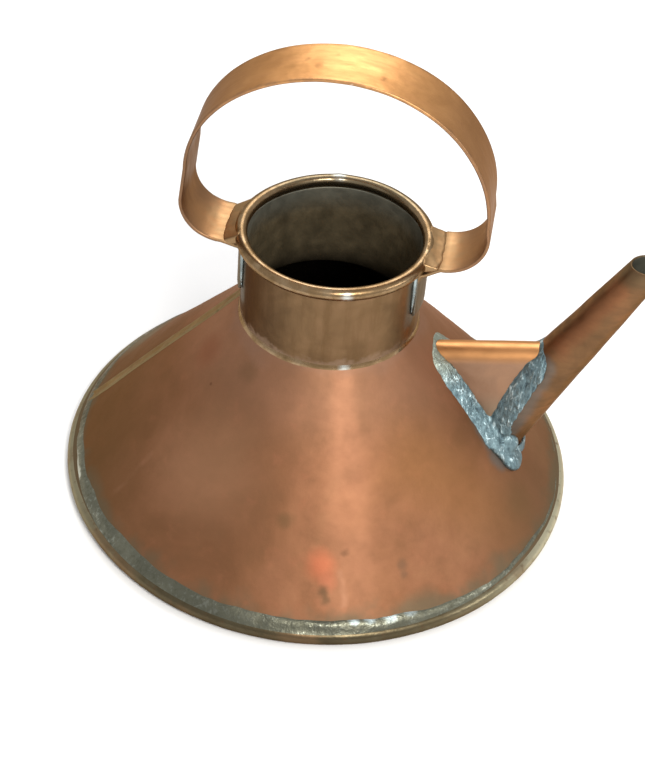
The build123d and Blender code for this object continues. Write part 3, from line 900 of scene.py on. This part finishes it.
def fold_vertex(i, j):
    (inner, outer), side, depth = fold_rows[i]
    t = j / (FOLD_COLUMNS - 1)
    here = inner.lerp(outer, t)
    belly = 0.5 * math.sin(math.pi * t) * math.sin(math.pi * min(1.0, depth / (48 * MM)))
    return here + Vector((0, side * (belly + 0.08 * lump(here, 9.0, 29.0)) * MM, 0))


verts, faces = grid(len(fold_rows), FOLD_COLUMNS, fold_vertex)
gusset = piece("folded_gusset_sheet", verts, flipped(faces), gusset_mat, inside_mat)
thicken(gusset, sheet, -1, inner_slot=1)
settle(gusset, ["spout_gusset"])

# ---- solder runs ----
def corner_path(end):
    """Corner points of the gusset's joint, front to back, and their depths, on the cone (0) or the spout (1)."""
    return [(span[end], depth) for span, side, depth in fold_rows]


def smear(path, away_from_fold, along_fold, normal_here, widths):
    """A closed run of solder filling a corner: flat feathered edges with a low crest between them."""
    verts, ring = [], 11
    for k, (p, depth) in enumerate(path):
        tangent = (path[min(k + 1, len(path) - 1)][0] - path[max(k - 1, 0)][0]).normalized()
        normal = normal_here(p)
        first = normal.cross(tangent).normalized()
        if first.dot(away_from_fold) < 0:
            first = -first
        second = (along_fold - tangent * along_fold.dot(tangent)).normalized()
        cheek = second.cross(tangent).normalized()
        if cheek.dot(p - (elbow - crown_up * 20 * MM - crown_dir * 10 * MM)) < 0:
            cheek = -cheek
        wide_first, wide_second, crest = (w * MM for w in widths(depth, p))
        start, end = p + first * wide_first, p + second * wide_second
        lift = (normal + cheek).normalized()
        crown = p + (first * wide_first + second * wide_second) * 0.32 + lift * crest
        verts.append(start - normal * 0.7 * MM)
        verts += [curved(start, crown, end, j / (ring - 4)) for j in range(ring - 3)]
        verts.append(end - cheek * 0.7 * MM)
        verts.append(p - lift * 0.9 * MM)
    return verts, loft(len(path), ring)


def dome(centre, normal, along, radii):
    """A flattened ball lying on a surface: centre and normal as vectors, radii in mm."""
    bm = bmesh.new()
    bmesh.ops.create_icosphere(bm, subdivisions=4, radius=1.0)
    along = (along - normal * along.dot(normal)).normalized()
    frame_axes = Matrix((along * radii[0] * MM, normal.cross(along) * radii[1] * MM, normal * radii[2] * MM))
    verts = [centre * MM + frame_axes.transposed() @ v.co for v in bm.verts]
    faces = [tuple(v.index for v in face.verts) for face in bm.faces]
    bm.free()
    return verts, faces


def cone_normal(p):
    azimuth = math.atan2(p.y, p.x)
    return polar(out_r, azimuth, out_z)


def spout_normal(p):
    run = (p - axis_start).dot(axis_dir)
    return (p - axis_start - axis_dir * run).normalized()


def arm_widths(depth, p):
    """Reach on the first surface, reach on the gusset, and crest height, in mm."""
    full = min(1.0, max(0.0, (depth / MM - 0.5) / 7.0))
    low = bell(depth / MM, 50.0, 13.0)
    ragged = 0.9 * lump(p, 5.0, 31.0) + 0.5 * lump(p, 2.0, 32.0)
    return (blend(2.6, 6.8, full) + 1.4 * low + ragged * full, blend(1.5, 4.4, full) + ragged * full * 0.7,
            blend(0.8, 1.8, full) + 0.4 * low)


def join_gusset_solder():
    """Both arms and the heap where they meet, as one mesh of overlapping volumes."""
    verts, faces = [], []
    parts = [smear(corner_path(0), -crown_dir, crown_dir, cone_normal, arm_widths),
             smear(corner_path(1), axis_dir, -crown_dir, spout_normal, arm_widths)]
    for side in (-1, 1):
        for x, y, z, radii in ((84.0, 12.5, 38.0, (9.0, 7.5, 3.2)), (88.0, 13.0, 33.4, (7.0, 7.5, 3.0)),
                               (81.0, 13.5, 41.0, (7.5, 6.5, 3.4)), (85.0, 11.5, 40.0, (5.5, 5.5, 5.0))):
            centre = Vector((x, side * y, z))
            normal = cone_normal(centre)
            parts.append(dome(centre, normal, Vector((0.3, side * 0.2, -1.0)), radii))
    for part_verts, part_faces in parts:
        base = len(verts)
        verts += part_verts
        faces += [tuple(base + k for k in face) for face in part_faces]
    return verts, faces


verts, faces = join_gusset_solder()
gusset_run = piece("gusset_solder_run", verts, faces, joint_mat)
outward(gusset_run)
work_over(gusset_run, 0.6, ((6.0, 0.45), (2.6, 0.22), (1.3, 0.05)), refine=1)
settle(gusset_run, ["gusset_cone_solder", "gusset_spout_solder"])

# the run under the spout is the CAD bead, worked over
root_run = link("spout_root_run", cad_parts["spout_root_solder"].data.copy())
work_over(root_run, 0.5, ((6.0, 0.3), (2.6, 0.10)), spread=-1.2)
root_run.data.materials.clear()
root_run.data.materials.append(joint_mat)
settle(root_run, ["spout_root_solder"])


TAB_STEPS, TAB_RING = 48, 12


def tab_run(x_side, y_side):
    """A thin run of solder down one upright edge of a handle tab, fat at the top and drawn out below."""
    edge_y = strap_half + 0.2 * MM
    edge_x = math.sqrt(neck_r ** 2 - edge_y ** 2) + 0.25 * MM

    def vertex(i, j):
        t, turn = i / (TAB_STEPS - 1), 2 * math.pi * j / TAB_RING
        z = blend(rim_z - 1.5 * MM, tab_low + 1.5 * MM, t)
        wander = 0.25 * lump(Vector((x_side * 0.03, y_side * 0.01, z)), 7.0, 35.0)
        fat = (0.35 + 1.0 * math.sin(math.pi * min(1.0, t + 0.12)) ** 0.6 + wander) * MM
        fat *= min(1.0, (i + 0.2) / 3, (TAB_STEPS - 0.8 - i) / 3)
        return Vector((x_side * (edge_x + fat * 0.75 * math.cos(turn)),
                       y_side * (edge_y + 0.4 * wander * MM + fat * math.sin(turn)), z))

    return grid(TAB_STEPS, TAB_RING, vertex, wrap_columns=True)


for x_side, end in ((1, "spout_end"), (-1, "seam_end")):
    for y_side, face in ((-1, "front"), (1, "back")):
        closed_piece(f"tab_run_{end}_{face}", tab_run(x_side, y_side), tab_mat,
                     f"handle_solder_{end}_{face}")

# ---- camera, floor and light ----
scene.view_settings.view_transform = "Standard"
# focal length and picture height in pixels, as solved from the photo
FOCAL, PICTURE, SENSOR = 1800.0, 774.0, 36.0
camera_data = bpy.data.cameras.new("camera")
camera_data.sensor_width, camera_data.sensor_fit, camera_data.lens = SENSOR, "AUTO", FOCAL / PICTURE * SENSOR
camera_data.clip_end = 50.0
camera = link("camera", camera_data)
spin = Matrix.Rotation(0.1163, 3, "Z")
eye = spin @ (Vector((0, -5.235, 5.088)) * base_r)
ahead, right, up = (spin @ Vector(v) for v in ((0, 0.7435, -0.6686), (0.99644, 0.05634, 0.06265),
                                               (-0.08427, 0.6662, 0.7409)))
camera.matrix_world = Matrix.Translation(eye) @ Matrix((right, up, -ahead)).transposed().to_4x4()
scene.camera = camera

paper = bpy.data.materials.new("pale_floor")
paper.use_nodes = True
paper_inputs = paper.node_tree.nodes["Principled BSDF"].inputs
paper_inputs["Base Color"].default_value = (0.93, 0.93, 0.93, 1)
paper_inputs["Roughness"].default_value = 0.9
floor = piece("floor", [(-4, -4, 0), (4, -4, 0), (4, 4, 0), (-4, 4, 0)], [(0, 1, 2, 3)], paper)

world = bpy.data.worlds.new("studio")
scene.world = world
world.use_nodes = True
sky = world.node_tree.nodes["Background"].inputs
sky["Color"].default_value = (1.0, 1.0, 1.0, 1.0)
sky["Strength"].default_value = 0.72


def softbox(name, azimuth, elevation, distance, size, watts, colour=(1, 1, 1)):
    """A round area lamp that looks at the can from angles in degrees."""
    light = bpy.data.lights.new(name, "AREA")
    light.shape, light.size, light.energy, light.color = "DISK", size, watts, colour
    lamp = link(name, light)
    a, e = math.radians(azimuth), math.radians(elevation)
    spot = Vector((math.cos(a) * math.cos(e), math.sin(a) * math.cos(e), math.sin(e)))
    aim = Vector((0, 0, 0.06))
    lamp.location = aim + spot * distance
    lamp.rotation_euler = spot.to_track_quat("Z", "Y").to_euler()


softbox("key", -62, 44, 0.95, 0.30, 6.0, (1.0, 0.97, 0.92))
softbox("back", 96, 52, 1.3, 0.8, 7.0)
softbox("side", -12, 24, 1.1, 0.30, 1.6)
